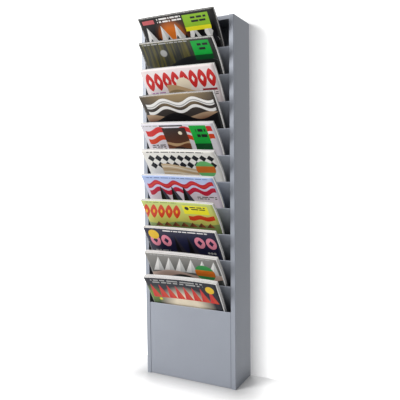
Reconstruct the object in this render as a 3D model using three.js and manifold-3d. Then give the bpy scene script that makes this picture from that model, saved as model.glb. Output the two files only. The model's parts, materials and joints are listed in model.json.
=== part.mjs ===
// Periodical display rack: a tall, shallow cabinet of folded sheet steel. Sloping plates with hemmed lips
// make a column of pockets, and a magazine leans out of each pocket with only its top part showing.
// The frame stands on the centre of its base: +X to the viewer's right, +Y to the wall, +Z up.

import * as THREE from 'three';
import { mergeVertices } from 'three/addons/utils/BufferGeometryUtils.js';
import Module from 'manifold-3d';

const wasm = await Module();
wasm.setup();

// Driving dimensions, in millimetres and degrees

const RACK_DEPTH = 102;
const RACK_HEIGHT = 914;
const SHEET = 0.9; // thickness of the steel
const FOLD_RADIUS = 1.2; // inside radius of an ordinary fold
const SEAM = 0.3; // gap that paint and weld leave between two sheets

const FRONT_RETURN = 12; // width of the side channels' front flanges
const REAR_RETURN = 16; // width of their rear flanges
const CAP_DROP = 10; // height of the top cap's flanges, the front one is the header
const BASE_RISE = 12; // height of the base pan's flanges
const KICK_LIFT = 1.5; // the kick panel's lower edge stays off the floor

const POCKET_COUNT = 11;
const POCKET_SLOPE = 31; // lean of the plates from the vertical
const TOP_OPENING = 63; // clear height from the highest lip to the header
const PLATE_FOOT = 14; // flange at the low end of a plate, flat on the back panel
const FOOT_CLEARANCE = 7.5; // room between the lowest foot and the base pan's flange
const HEM_DEPTH = 7; // length of the sheet that is folded back at a lip
const HEM_SLIT = 0.4; // slit left inside that fold

const KEYHOLE_SPACING = 152; // between the two hanging slots
const KEYHOLE_INSET = 50; // from the top of the rack to the seat of the screw
const KEYHOLE_RISE = 11; // from the centre of the round hole up to that seat
const KEYHOLE_HEAD = 10; // diameter of the round hole
const KEYHOLE_SLOT = 5; // width of the slot

const MAGAZINE_WIDTH = 206;
const MOUTH_ROOM = 15; // from a centred magazine to the front return on either side
const LEAF = 0.1; // thickness of one leaf of paper
const COVER = 0.5; // thickness of a cover
const COVER_GAP = 0.3; // between the cover and the page block
const PAGE_TRIM = 0.4; // the pages end this far inside the cover's edges
const REST_GAP = 0.3; // between a magazine and what it rests on
const OVERCUT = 2; // how far a cutting block stands past what it cuts

// One entry for each pocket, from the top: how many leaves the magazine has, its height as a multiple of its
// width, how far it stands to the right as a share of the room there (below zero it is to the left), and by
// how many degrees its free end droops forward over the lip.
const MAGAZINES = [
  { leaves: 34, format: 1.34, aside: 0.03, droop: 13, color: 0x1b1a1c },
  { leaves: 44, format: 1.348, aside: 0.03, droop: 15, color: 0x3a3b38 },
  { leaves: 34, format: 1.356, aside: 0.11, droop: 10, color: 0xe6e0da },
  { leaves: 44, format: 1.362, aside: 0.06, droop: 12, color: 0x57524a },
  { leaves: 44, format: 1.339, aside: -0.05, droop: 14, color: 0xdedcdc },
  { leaves: 44, format: 1.341, aside: 0.15, droop: 17, color: 0xe8e6e0 },
  { leaves: 44, format: 1.339, aside: -0.12, droop: 11, color: 0xb9c6dc },
  { leaves: 54, format: 1.333, aside: -0.29, droop: 9, color: 0xb9cf8c },
  { leaves: 69, format: 1.282, aside: -0.19, droop: 6, color: 0x2b2f4a },
  { leaves: 94, format: 1.266, aside: 0.03, droop: 6, color: 0x9a9a98 },
  { leaves: 109, format: 1.257, aside: -0.2, droop: 2, color: 0x1d2030 },
];

const FOLD_STEPS = 6; // straight steps in the outline of each fold and bend

// Sizes that follow from the driving dimensions

const RACK_WIDTH = MAGAZINE_WIDTH + 2 * (MOUTH_ROOM + FRONT_RETURN);
const foldOutside = FOLD_RADIUS + SHEET; // how much of a flange's width its fold takes
const INSIDE_WIDTH = RACK_WIDTH - 2 * foldOutside; // clear of the folds at the channels' corners
const FRONT = -RACK_DEPTH / 2;
const BACK = RACK_DEPTH / 2;
const PANEL_FRONT = FRONT + SHEET + SEAM; // front of all that is welded behind the front returns
const PANEL_BACK = BACK - SHEET - SEAM; // rear face of the back panel, in front of the rear returns
const POCKET_BACK = PANEL_BACK - SHEET; // inner face of the back panel
const FOOT_BACK = POCKET_BACK - SEAM; // rear face of the flanges that lie on the back panel

const slope = THREE.MathUtils.degToRad(POCKET_SLOPE);
const halfSheet = SHEET / 2;
const foldMiddle = FOLD_RADIUS + halfSheet;
const hemMiddle = (HEM_SLIT + SHEET) / 2; // radius of a lip fold at mid-thickness
const LIP_RADIUS = HEM_SLIT / 2 + SHEET; // outside radius of a lip
const LIP_Y = PANEL_FRONT + LIP_RADIUS; // the lips' fold axes lie on this plane

// Length of a sloping run from the lip to the fold of its foot. The run's mid-thickness line passes the
// lip's axis at a distance offset, counted towards the pocket.
function slopeRun(offset) {
  const depth = FOOT_BACK - halfSheet - LIP_Y - foldMiddle * (1 - Math.cos(slope));
  return (depth - offset * Math.cos(slope)) / Math.sin(slope);
}

const kickDrop = (slopeRun(hemMiddle) * Math.cos(slope)) + (foldMiddle - hemMiddle) * Math.sin(slope);
const LOWEST_LIP = BASE_RISE + FOOT_CLEARANCE + PLATE_FOOT + kickDrop;
const HIGHEST_LIP = RACK_HEIGHT - CAP_DROP - TOP_OPENING - LIP_RADIUS;
const POCKET_PITCH = (HIGHEST_LIP - LOWEST_LIP) / (POCKET_COUNT - 1);

const PAINT = { color: 0xa4a8b0, roughness: 0.36, metalness: 0.35 };
const PAPER = { color: 0xe4ddcc, roughness: 0.85, metalness: 0 };

const alongX = new THREE.Matrix4().makeBasis(
  new THREE.Vector3(0, 1, 0),
  new THREE.Vector3(0, 0, 1),
  new THREE.Vector3(1, 0, 0),
);
const intoDepth = new THREE.Matrix4().makeBasis(
  new THREE.Vector3(1, 0, 0),
  new THREE.Vector3(0, 0, 1),
  new THREE.Vector3(0, -1, 0),
);

function pad(number) {
  return String(number).padStart(2, '0');
}

function piece(name, geometry, finish) {
  const mesh = new THREE.Mesh(geometry, new THREE.MeshStandardMaterial(finish));
  mesh.name = name;
  return mesh;
}

function extrude(shape, depth) {
  return new THREE.ExtrudeGeometry(shape, { depth, bevelEnabled: false, curveSegments: FOLD_STEPS });
}

// Extrudes an outline drawn in the Y-Z plane across the rack, centred on the middle.
function extrudeAcross(shape, width) {
  return extrude(shape, width).translate(0, 0, -width / 2).applyMatrix4(alongX);
}

// Outline of a folded sheet. It starts at a point of the sheet's mid-thickness with a heading in radians,
// and each step is a straight run or a fold. A fold's angle is positive to the left, and its radius is
// the inside one. Runs and folds alternate, and a run comes first and last.
function foldedSheet(start, heading, steps) {
  const at = start.clone();
  let angle = heading;
  const folds = [];
  const left = (along) => new THREE.Vector2(-Math.sin(along), Math.cos(along));
  const firstLeft = left(angle).multiplyScalar(halfSheet);

  for (const step of steps) {
    if (step.run !== undefined) {
      at.add(new THREE.Vector2(Math.cos(angle), Math.sin(angle)).multiplyScalar(step.run));
      continue;
    }
    const turn = Math.sign(step.fold);
    const middle = step.radius + halfSheet;
    const center = at.clone().addScaledVector(left(angle), turn * middle);
    const from = angle - turn * Math.PI / 2;
    const to = from + step.fold;
    folds.push({ center, from, to, turn, middle });
    angle += step.fold;
    at.copy(center).addScaledVector(left(angle), -turn * middle);
  }

  const lastLeft = left(angle).multiplyScalar(halfSheet);
  const outline = new THREE.Shape();
  outline.moveTo(start.x + firstLeft.x, start.y + firstLeft.y);
  for (const { center, from, to, turn, middle } of folds) {
    outline.absarc(center.x, center.y, middle - turn * halfSheet, from, to, turn < 0);
  }
  outline.lineTo(at.x + lastLeft.x, at.y + lastLeft.y);
  outline.lineTo(at.x - lastLeft.x, at.y - lastLeft.y);
  for (const { center, from, to, turn, middle } of folds.toReversed()) {
    outline.absarc(center.x, center.y, middle + turn * halfSheet, to, from, turn > 0);
  }
  outline.lineTo(start.x - firstLeft.x, start.y - firstLeft.y);
  outline.closePath();
  return outline;
}

function solidOf(geometry) {
  const bare = geometry.clone();
  bare.deleteAttribute('normal');
  bare.deleteAttribute('uv');
  const welded = mergeVertices(bare);
  return new wasm.Manifold(new wasm.Mesh({
    numProp: 3,
    vertProperties: new Float32Array(welded.attributes.position.array),
    triVerts: new Uint32Array(welded.index.array),
  }));
}

function geometryOf(solid) {
  const mesh = solid.getMesh();
  const geometry = new THREE.BufferGeometry();
  geometry.setAttribute('position', new THREE.BufferAttribute(mesh.vertProperties, 3));
  geometry.setIndex(new THREE.BufferAttribute(mesh.triVerts, 1));
  geometry.computeVertexNormals();
  return geometry;
}

// Side channel: the wall with a return at the front and one at the back. side is 1 for right, -1 for left.
function sideChannel(side) {
  const wall = RACK_DEPTH - 2 * foldOutside;
  const start = new THREE.Vector2(side * (RACK_WIDTH / 2 - FRONT_RETURN), FRONT + halfSheet);
  const heading = side > 0 ? 0 : Math.PI;
  const quarter = { fold: side * Math.PI / 2, radius: FOLD_RADIUS };
  const outline = foldedSheet(start, heading, [
    { run: FRONT_RETURN - foldOutside },
    quarter,
    { run: wall },
    quarter,
    { run: REAR_RETURN - foldOutside },
  ]);
  return extrude(outline, RACK_HEIGHT);
}

// Keyhole for a wall screw: the head goes in at the round hole and the shank seats at the slot's top.
function keyhole(x) {
  const head = KEYHOLE_HEAD / 2;
  const half = KEYHOLE_SLOT / 2;
  const seat = RACK_HEIGHT - KEYHOLE_INSET;
  const headCenter = seat - KEYHOLE_RISE;
  const mouth = Math.asin(half / head);
  const hole = new THREE.Path();
  hole.absarc(x, headCenter, head, Math.PI / 2 - mouth, Math.PI / 2 + mouth, true);
  hole.absarc(x, seat, half, Math.PI, 0, true);
  hole.closePath();
  return hole;
}

function backPanel() {
  const half = INSIDE_WIDTH / 2;
  const sheet = new THREE.Shape();
  sheet.moveTo(-half, 0);
  sheet.lineTo(half, 0);
  sheet.lineTo(half, RACK_HEIGHT);
  sheet.lineTo(-half, RACK_HEIGHT);
  sheet.closePath();
  for (const side of [-1, 1]) {
    sheet.holes.push(keyhole(side * KEYHOLE_SPACING / 2));
  }
  return extrude(sheet, SHEET).applyMatrix4(intoDepth).translate(0, PANEL_BACK, 0);
}

// Top cap and base pan: a plate between a front and a rear flange. up is 1 where the flanges rise from the
// plate and -1 where they hang from it, and plateZ is the plate's outer face.
function flangedPlate(up, plateZ, flangeHeight, front) {
  const start = new THREE.Vector2(front + halfSheet, plateZ + up * flangeHeight);
  const quarter = { fold: up * Math.PI / 2, radius: FOLD_RADIUS };
  const outline = foldedSheet(start, -up * Math.PI / 2, [
    { run: flangeHeight - foldOutside },
    quarter,
    { run: FOOT_BACK - front - 2 * foldOutside },
    quarter,
    { run: flangeHeight - foldOutside },
  ]);
  return extrudeAcross(outline, INSIDE_WIDTH);
}

const footFold = { fold: -slope, radius: FOLD_RADIUS };

// Pocket plate about its lip's axis: the hem inside, the lip, the sloping run and the foot.
function pocketPlate() {
  const uphill = Math.PI / 2 + slope;
  const hemEnd = new THREE.Vector2(hemMiddle * Math.cos(slope), hemMiddle * Math.sin(slope));
  hemEnd.add(new THREE.Vector2(Math.sin(slope), -Math.cos(slope)).multiplyScalar(HEM_DEPTH));
  const outline = foldedSheet(hemEnd, uphill, [
    { run: HEM_DEPTH },
    { fold: Math.PI, radius: HEM_SLIT / 2 },
    { run: slopeRun(-hemMiddle) },
    footFold,
    { run: PLATE_FOOT },
  ]);
  return extrudeAcross(outline, INSIDE_WIDTH);
}

// Kick panel: the front up to the lowest lip, folded over it into the sloping run of the lowest pocket.
function kickPanel() {
  const start = new THREE.Vector2(PANEL_FRONT + halfSheet, KICK_LIFT);
  const outline = foldedSheet(start, Math.PI / 2, [
    { run: LOWEST_LIP - KICK_LIFT },
    { fold: slope - Math.PI, radius: HEM_SLIT / 2 },
    { run: slopeRun(hemMiddle) },
    footFold,
    { run: PLATE_FOOT },
  ]);
  return extrudeAcross(outline, INSIDE_WIDTH);
}

// A magazine's own frame has its front cover on the plane y = 0, the lip at z = 0 and +Z up its length.
// Below the lip it lies flat, and above the lip it bends forward by its droop.
function magazineForm({ leaves, format, aside, droop }) {
  const thickness = leaves * LEAF + 2 * (COVER + COVER_GAP);
  const shift = aside * MOUTH_ROOM;
  const coverY = LIP_RADIUS + REST_GAP;
  const room = POCKET_BACK - REST_GAP - LIP_Y;
  const hidden = (room - (coverY + thickness) * Math.cos(slope)) / Math.sin(slope);
  const exposed = format * MAGAZINE_WIDTH - hidden;
  const bendRadius = exposed / THREE.MathUtils.degToRad(droop);
  return { thickness, shift, coverY, hidden, exposed, bendRadius };
}

// Block between two depths of a magazine, from its foot to its head. trim shortens both ends.
function magazineBlock(form, near, far, trim, width) {
  const { thickness, hidden, exposed, bendRadius } = form;
  const bendY = thickness / 2 - bendRadius;
  const turn = (exposed - trim) / bendRadius;
  const outline = new THREE.Shape();
  outline.moveTo(far, trim - hidden);
  outline.absarc(bendY, 0, far - bendY, 0, turn, false);
  outline.absarc(bendY, 0, near - bendY, turn, 0, true);
  outline.lineTo(near, trim - hidden);
  outline.closePath();
  return extrudeAcross(outline, width);
}

// The cover is a block hollowed from the head, the foot and the fore edge, so it stays closed at the spine.
function magazineCover(form) {
  const { thickness } = form;
  const block = magazineBlock(form, 0, thickness, 0, MAGAZINE_WIDTH);
  const hollow = magazineBlock(form, COVER, thickness - COVER, -OVERCUT, MAGAZINE_WIDTH);
  hollow.translate(COVER, 0, 0);
  return geometryOf(solidOf(block).subtract(solidOf(hollow)));
}

function magazinePages(form) {
  const inset = COVER + COVER_GAP;
  const width = MAGAZINE_WIDTH - inset - PAGE_TRIM;
  const block = magazineBlock(form, inset, form.thickness - inset, PAGE_TRIM, width);
  return block.translate((inset - PAGE_TRIM) / 2, 0, 0);
}

const rack = new THREE.Group();
rack.add(piece('left_side', sideChannel(-1), PAINT));
rack.add(piece('right_side', sideChannel(1), PAINT));
rack.add(piece('back_panel', backPanel(), PAINT));
rack.add(piece('top_cap', flangedPlate(-1, RACK_HEIGHT, CAP_DROP, PANEL_FRONT), PAINT));
rack.add(piece('base_pan', flangedPlate(1, 0, BASE_RISE, PANEL_FRONT + SHEET + SEAM), PAINT));
rack.add(piece('kick_panel', kickPanel(), PAINT));

for (let row = 1; row <= POCKET_COUNT; row += 1) {
  const lipZ = HIGHEST_LIP - (row - 1) * POCKET_PITCH;

  if (row < POCKET_COUNT) {
    const plate = piece(`pocket_plate_${pad(row)}`, pocketPlate(), PAINT);
    plate.position.set(0, LIP_Y, lipZ);
    rack.add(plate);
  }

  const magazine = MAGAZINES[(row - 1) % MAGAZINES.length];
  const form = magazineForm(magazine);
  const cover = { color: magazine.color, roughness: 0.4, metalness: 0 };
  const issue = new THREE.Group();
  issue.add(piece(`magazine_cover_${pad(row)}`, magazineCover(form), cover));
  issue.add(piece(`magazine_pages_${pad(row)}`, magazinePages(form), PAPER));
  for (const mesh of issue.children) {
    mesh.position.set(form.shift, form.coverY, 0);
  }
  issue.position.set(0, LIP_Y, lipZ);
  issue.rotation.x = slope;
  rack.add(issue);
}

export default rack;
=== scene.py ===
# %% [markdown]
# # A periodical display rack
# The object is a tall, shallow rack of folded sheet steel. Ten sloping plates and a kick panel make eleven
# pockets, and a magazine leans out of each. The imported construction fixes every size, place and joint. This
# lesson makes what the eye reads: smooth folds, enamel paint, printed covers, page edges and studio light.

# %% Load the construction
import json
import math
import random
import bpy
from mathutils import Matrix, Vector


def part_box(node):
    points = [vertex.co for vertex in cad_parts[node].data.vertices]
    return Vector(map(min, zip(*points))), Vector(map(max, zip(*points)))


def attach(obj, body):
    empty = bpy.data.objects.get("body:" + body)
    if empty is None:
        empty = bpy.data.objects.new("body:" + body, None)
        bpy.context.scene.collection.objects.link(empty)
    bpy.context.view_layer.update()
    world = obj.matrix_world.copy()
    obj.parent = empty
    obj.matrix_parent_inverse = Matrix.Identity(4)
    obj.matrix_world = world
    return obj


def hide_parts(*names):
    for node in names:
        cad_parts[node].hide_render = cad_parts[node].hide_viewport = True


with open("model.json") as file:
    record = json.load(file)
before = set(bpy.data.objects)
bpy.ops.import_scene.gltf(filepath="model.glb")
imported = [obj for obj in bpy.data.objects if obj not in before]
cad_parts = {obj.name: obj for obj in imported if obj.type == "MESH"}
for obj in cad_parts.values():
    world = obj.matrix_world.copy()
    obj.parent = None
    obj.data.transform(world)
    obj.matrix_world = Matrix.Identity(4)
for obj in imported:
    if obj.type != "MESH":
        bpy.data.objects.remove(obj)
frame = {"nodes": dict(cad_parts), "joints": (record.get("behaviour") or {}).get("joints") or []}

from types import SimpleNamespace

import bmesh
import bpy
from mathutils import Matrix, Vector

MM = 0.001
scene = bpy.context.scene
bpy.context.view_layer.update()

# %% [markdown]
# ## Camera
# The picture is square and was taken from the right, a little above the middle of the rack. Its focal length
# and place were worked out from the corners of the steel case, whose sizes are known. The camera is built
# from three turns: round the rack, up from the horizon, and a slight roll.

# %% Place the camera
IMAGE_PIXELS = 400
FOCAL_PIXELS = 503.1
CAMERA_PLACE = Vector((0.6049, -1.1695, 0.5631))
CAMERA_AZIMUTH = math.radians(26.96)
CAMERA_ELEVATION = math.radians(4.15)
CAMERA_ROLL = math.radians(-0.65)

camera = bpy.data.objects.new("photo_camera", bpy.data.cameras.new("photo_camera"))
camera.data.lens = camera.data.sensor_width * FOCAL_PIXELS / IMAGE_PIXELS
camera.matrix_world = (
    Matrix.Translation(CAMERA_PLACE)
    @ Matrix.Rotation(CAMERA_AZIMUTH, 4, "Z")
    @ Matrix.Rotation(math.pi / 2 - CAMERA_ELEVATION, 4, "X")
    @ Matrix.Rotation(CAMERA_ROLL, 4, "Z")
)
scene.collection.objects.link(camera)
scene.camera = camera
print("camera lens, mm:", round(camera.data.lens, 2))

# %% [markdown]
# ## Small tools for node trees
# Every finish is a tree of shader nodes. A few helpers keep the trees readable: they feed a socket with a
# number or with another node's output, do sums, map one range of values to another, and start a shader node
# group with named sockets. A group is built once, and each material that uses it gives it its own values.

# %% Node helpers
NOISE_RANGE = (0.3, 0.7)  # most of a noise's values lie here


def feed(tree, socket, value):
    """Links an output to a socket, or writes a plain value into it."""
    if isinstance(value, bpy.types.NodeSocket):
        tree.links.new(value, socket)
    else:
        socket.default_value = value


def add_node(tree, kind, inputs=None, **settings):
    """Adds a node, sets its properties and feeds its inputs by name or number."""
    node = tree.nodes.new(kind)
    for name, value in settings.items():
        setattr(node, name, value)
    for key, value in (inputs or {}).items():
        feed(tree, node.inputs[key], value)
    return node


def math_node(tree, operation, *values, clamp=False):
    """Adds one Math node and returns its result."""
    node = add_node(tree, "ShaderNodeMath", dict(enumerate(values)), operation=operation, use_clamp=clamp)
    return node.outputs[0]


def product(tree, first, *others):
    """Multiplies values or masks."""
    for other in others:
        first = math_node(tree, "MULTIPLY", first, other)
    return first


def mix_color(tree, factor, first, second):
    """Lays the second colour over the first where the factor is 1."""
    node = add_node(tree, "ShaderNodeMix", data_type="RGBA")
    for name, value in (("Factor_Float", factor), ("A_Color", first), ("B_Color", second)):
        socket = next(s for s in node.inputs if s.identifier == name)
        feed(tree, socket, value)
    return next(s for s in node.outputs if s.identifier == "Result_Color")


def noise(tree, vector, scale, detail=2.0):
    """Soft random values between 0 and 1 over a surface."""
    inputs = {"Vector": vector, "Scale": scale, "Detail": detail}
    return add_node(tree, "ShaderNodeTexNoise", inputs).outputs["Fac"]


def spread(tree, value, low, high, new_low, new_high):
    """Maps a range of values to another one and clamps it there."""
    inputs = {"Value": value, "From Min": low, "From Max": high, "To Min": new_low, "To Max": new_high}
    return add_node(tree, "ShaderNodeMapRange", inputs).outputs[0]


def sway(tree, value, low, high):
    """Lets a noise sway between two values."""
    return spread(tree, value, *NOISE_RANGE, low, high)


def new_group(name, inputs, outputs):
    """Starts a shader node group. inputs and outputs are name: default, and the default gives the type."""
    group = bpy.data.node_groups.new(name, "ShaderNodeTree")
    for direction, sockets in (("INPUT", inputs), ("OUTPUT", outputs)):
        for label, default in sockets.items():
            kind = {3: "NodeSocketVector", 4: "NodeSocketColor"}.get(len(default), "NodeSocketFloat")
            socket = group.interface.new_socket(label, in_out=direction, socket_type=kind)
            socket.default_value = default if len(default) > 1 else default[0]
    source = group.nodes.new("NodeGroupInput")
    target = group.nodes.new("NodeGroupOutput")
    return group, source.outputs, target.inputs


def use_group(tree, group, **inputs):
    """Places a group in a material. Words in a socket's name are joined by underscores here."""
    node = tree.nodes.new("ShaderNodeGroup")
    node.node_tree = group
    for name, value in inputs.items():
        feed(tree, node.inputs[name.replace("_", " ")], value)
    return node.outputs


def new_material(name):
    """An empty material with its Principled BSDF."""
    material = bpy.data.materials.new(name)
    material.use_nodes = True
    return material, material.node_tree, material.node_tree.nodes["Principled BSDF"].inputs


def srgb(red, green, blue):
    """A colour as read on a screen, from 0 to 255, as the linear colour that shaders use."""
    shares = [value / 255 for value in (red, green, blue)]
    linear = [s / 12.92 if s <= 0.04045 else ((s + 0.055) / 1.055) ** 2.4 for s in shares]
    return (*linear, 1.0)


print("node helpers are ready")

# %% [markdown]
# ## Enamel paint
# The steel carries a silver-grey enamel: a fine orange peel in its surface, a faint metallic grain, and a
# thinner, brighter coat along folds and cut edges. A dark line along one seam, where one sheet laps another,
# is painted shade that stands for the shadow in the gap. A plain grey would look like plastic. The peel is a
# bump far finer than the sheet. The modelling marks the edges and the seam with attributes for the paint.

# %% The paint group and its material
PEEL_SCALE = 420.0  # waves of orange peel in a metre
GRAIN_SCALE = 2600.0
CLOUD_SCALE = 7.0
PEEL_HEIGHT = 0.02 * MM
PEEL_STRENGTH = 0.6
PEEL_CREST = (0.35, 0.6)  # range of the peel over which the coat of an edge thins
EDGE_WEAR = (0.4, 1.0)
EDGE_LIFT = 0.10
GRAIN_TONE = (0.95, 1.05)
CLOUD_TONE = (0.965, 1.035)
ROUGHNESS_SWING = 0.03
# how strongly the painted shade darkens a seam; it stands for the shadow in the gap
SEAM_PAINTED_SHADE = (0.6, 0.9)
SEAM_SHADE = srgb(84, 86, 94)

paint_group, given, made = new_group(
    "enamel_paint",
    {
        "Place": (0.0, 0.0, 0.0), "Color": (0.5, 0.5, 0.5, 1.0), "Edge": (0.0,), "Seam": (0.0,),
        "Roughness": (0.35,),
    },
    {"Color": (0.5, 0.5, 0.5, 1.0), "Roughness": (0.35,), "Height": (0.0,)},
)
peel = noise(paint_group, given["Place"], PEEL_SCALE)
grain = noise(paint_group, given["Place"], GRAIN_SCALE, detail=0.0)
clouds = noise(paint_group, given["Place"], CLOUD_SCALE, detail=3.0)
shade = product(paint_group, sway(paint_group, grain, *GRAIN_TONE), sway(paint_group, clouds, *CLOUD_TONE))
worn = product(paint_group, given["Edge"], spread(paint_group, peel, *PEEL_CREST, *EDGE_WEAR))
bright = math_node(paint_group, "MULTIPLY_ADD", worn, EDGE_LIFT, shade)
toned = add_node(paint_group, "ShaderNodeVectorMath", {0: given["Color"], "Scale": bright}, operation="SCALE")
# painted shade along the marked seam, with a cloudy strength
painted_seam_shade = product(paint_group, given["Seam"], sway(paint_group, clouds, *SEAM_PAINTED_SHADE))
uneven = sway(paint_group, clouds, -ROUGHNESS_SWING, ROUGHNESS_SWING)
feed(paint_group, made["Color"], mix_color(paint_group, painted_seam_shade, toned.outputs[0], SEAM_SHADE))
feed(paint_group, made["Roughness"], math_node(paint_group, "ADD", given["Roughness"], uneven))
feed(paint_group, made["Height"], peel)

PAINT_COLOR = srgb(158, 163, 173)
PAINT_ROUGHNESS = 0.36
PAINT_METALLIC = 0.06
PAINT_SPECULAR = 0.2

paint, tree, shader = new_material("silver_grey_enamel")
place = add_node(tree, "ShaderNodeTexCoord").outputs["Object"]
edge = add_node(tree, "ShaderNodeAttribute", attribute_name="edge").outputs["Fac"]
seam = add_node(tree, "ShaderNodeAttribute", attribute_name="seam").outputs["Fac"]
coat = use_group(
    tree, paint_group, Place=place, Color=PAINT_COLOR, Edge=edge, Seam=seam, Roughness=PAINT_ROUGHNESS,
)
bump = add_node(tree, "ShaderNodeBump", {
    "Height": coat["Height"], "Strength": PEEL_STRENGTH, "Distance": PEEL_HEIGHT,
})
feed(tree, shader["Base Color"], coat["Color"])
feed(tree, shader["Roughness"], coat["Roughness"])
feed(tree, shader["Normal"], bump.outputs[0])
shader["Metallic"].default_value = PAINT_METALLIC
shader["Specular IOR Level"].default_value = PAINT_SPECULAR
print("paint made:", paint.name)

# %% [markdown]
# ## Folding steel
# Each steel piece was a flat blank that a press brake folded. The same order works in Blender: draw the
# folded section as a chain of edges, extruding the straight runs and spinning the folds, pull the chain
# sideways into a sheet, and let Solidify give it the gauge of the steel. A Bevel modifier takes the razor
# edge off the cut rims, and Weighted Normal keeps the flats flat beside them.

# %% Sheet sizes and the folding helpers
SHEET = 0.9 * MM
FOLD_RADIUS = 1.2 * MM  # inside an ordinary fold
HEM_SLIT = 0.4 * MM  # left inside the fold of a lip
EDGE_ZONE = 1.5 * MM  # strip beside a fold or a cut edge where the paint is thinner
CUT_ROUND = 0.18 * MM
CUT_ANGLE = math.radians(50)  # a corner sharper than any step of a fold is a cut edge
CUT_STEPS = 2
FOLD_STEPS = 10
BEND_SEEN = math.radians(2)
ACROSS, DEEP, UP = Vector((1, 0, 0)), Vector((0, 1, 0)), Vector((0, 0, 1))
fold_middle = FOLD_RADIUS + SHEET / 2


def edged(length):
    """Parts of a straight run: a strip at each end and what is left between them."""
    return [length] if length < 4 * EDGE_ZONE else [EDGE_ZONE, length - 2 * EDGE_ZONE, EDGE_ZONE]


def even(length, count):
    """Equal parts of a straight run."""
    return [length / count] * count


def only(kind, geometry):
    """The vertices, edges or faces out of what an operator returns."""
    return [part for part in geometry if isinstance(part, kind)]


def trace(bm, start, heading, axis, steps):
    """Draws a folded section as a chain of edges. A step is a list of straight parts, or a tuple of the
    fold's angle, positive to the left as seen against the axis, and the radius of the drawn line."""
    tip = bm.verts.new(start)
    for step in steps:
        if isinstance(step, list):
            for part in step:
                tip = bmesh.ops.extrude_vert_indiv(bm, verts=[tip])["verts"][0]
                bmesh.ops.translate(bm, verts=[tip], vec=heading * part)
            continue
        angle, radius = step
        center = tip.co + axis.cross(heading) * math.copysign(radius, angle)
        spun = bmesh.ops.spin(bm, geom=[tip], cent=center, axis=axis, angle=angle, steps=FOLD_STEPS)
        tip = only(bmesh.types.BMVert, spun["geom_last"])[0]
        heading = Matrix.Rotation(angle, 3, axis) @ heading


def add_piece(name, bm, material):
    """Turns a bmesh into an object of the scene, with smooth faces and one material."""
    mesh = bpy.data.meshes.new(name)
    bm.to_mesh(mesh)
    bm.free()
    mesh.materials.append(material)
    mesh.polygons.foreach_set("use_smooth", [True] * len(mesh.polygons))
    piece = bpy.data.objects.new(name, mesh)
    scene.collection.objects.link(piece)
    return piece


def stand_for(piece, body, slot, *nodes):
    """Lets a piece ride on a body, in the place of construction nodes."""
    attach(piece, body)
    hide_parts(*nodes)


def steel_piece(node, bm):
    """Gives a bare sheet its gauge and its rounded cut edges, and puts it in its node's place."""
    layer = bm.verts.layers.float.new("edge")
    for vert in bm.verts:
        bends = [joint.calc_face_angle(math.pi) for joint in vert.link_edges]
        vert[layer] = float(max(bends) > BEND_SEEN)
    piece = add_piece(f"steel_{node}", bm, paint)
    gauge = piece.modifiers.new("gauge", "SOLIDIFY")
    gauge.thickness = SHEET
    gauge.offset = 0
    gauge.use_even_offset = True
    cut = piece.modifiers.new("cut_edges", "BEVEL")
    cut.width = CUT_ROUND
    cut.segments = CUT_STEPS
    cut.limit_method = "ANGLE"
    cut.angle_limit = CUT_ANGLE
    piece.modifiers.new("flats", "WEIGHTED_NORMAL")
    stand_for(piece, "rack", "rack_paint", node)
    return piece


def folded_sheet(node, start, heading, axis, parts, steps):
    """Makes a steel piece from its section, pulled along the axis part by part."""
    bm = bmesh.new()
    trace(bm, start, heading, axis, steps)
    chain = bm.edges[:]
    for part in parts:
        grown = bmesh.ops.extrude_edge_only(bm, edges=chain)["geom"]
        bmesh.ops.translate(bm, verts=only(bmesh.types.BMVert, grown), vec=axis * part)
        new_verts = set(only(bmesh.types.BMVert, grown))
        chain = [e for e in only(bmesh.types.BMEdge, grown) if set(e.verts) <= new_verts]
    bmesh.ops.recalc_face_normals(bm, faces=bm.faces[:])
    return steel_piece(node, bm)


print("folding helpers are ready")

# %% [markdown]
# ## The case
# Two side channels, a top cap and a base pan make the case. A channel is a wall with a narrow return at the
# front and a wider one at the back. The cap and the pan are plates between two flanges. Their outer sizes
# are read from the frame, so the sheets lie exactly where the construction has them.

# %% Fold the side channels, the top cap and the base pan
FRONT_RETURN = 12 * MM
SQUARE = math.pi / 2


def side_channel(node, side):
    """side is 1 for the right channel and -1 for the left one."""
    low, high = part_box(node)
    outer = high.x if side > 0 else low.x
    corner = FOLD_RADIUS + SHEET
    rear_return = high.x - low.x
    start = (outer - side * FRONT_RETURN, low.y + SHEET / 2, low.z)
    fold = (side * SQUARE, fold_middle)
    folded_sheet(node, start, ACROSS * side, UP, edged(high.z - low.z), [
        edged(FRONT_RETURN - corner), fold,
        edged(high.y - low.y - 2 * corner), fold,
        edged(rear_return - corner),
    ])


def flanged_plate(node, rise):
    """rise is 1 where the flanges stand up from the plate and -1 where they hang from it."""
    low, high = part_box(node)
    corner = FOLD_RADIUS + SHEET
    flange = high.z - low.z
    start = (low.x, low.y + SHEET / 2, high.z if rise > 0 else low.z)
    fold = (rise * SQUARE, fold_middle)
    folded_sheet(node, start, UP * -rise, ACROSS, edged(high.x - low.x), [
        edged(flange - corner), fold,
        edged(high.y - low.y - 2 * corner), fold,
        edged(flange - corner),
    ])


side_channel("left_side", -1)
side_channel("right_side", 1)
flanged_plate("top_cap", -1)
flanged_plate("base_pan", 1)

# %% [markdown]
# ## Pocket plates and kick panel
# A pocket plate starts as a hem: the sheet is doubled back inside its lip so that no raw edge meets a hand.
# From the lip it slopes down to the back panel and ends in a foot that lies flat there. The kick panel is
# the plain front below, folded over at its top edge into the slope of the lowest pocket. The lean of the
# plates is the direction in which the magazines lift out, which the frame's joints give.

# %% Fold the plates and the kick panel
HEM_DEPTH = 7 * MM
SEAM_ZONE = 3.5 * MM
PLATE_FOOT = 14 * MM
hem_middle = (HEM_SLIT + SHEET) / 2
lip_radius = HEM_SLIT / 2 + SHEET
lift = Vector(frame["joints"][0]["axis"])
slope = math.atan2(-lift.y, lift.z)


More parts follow.
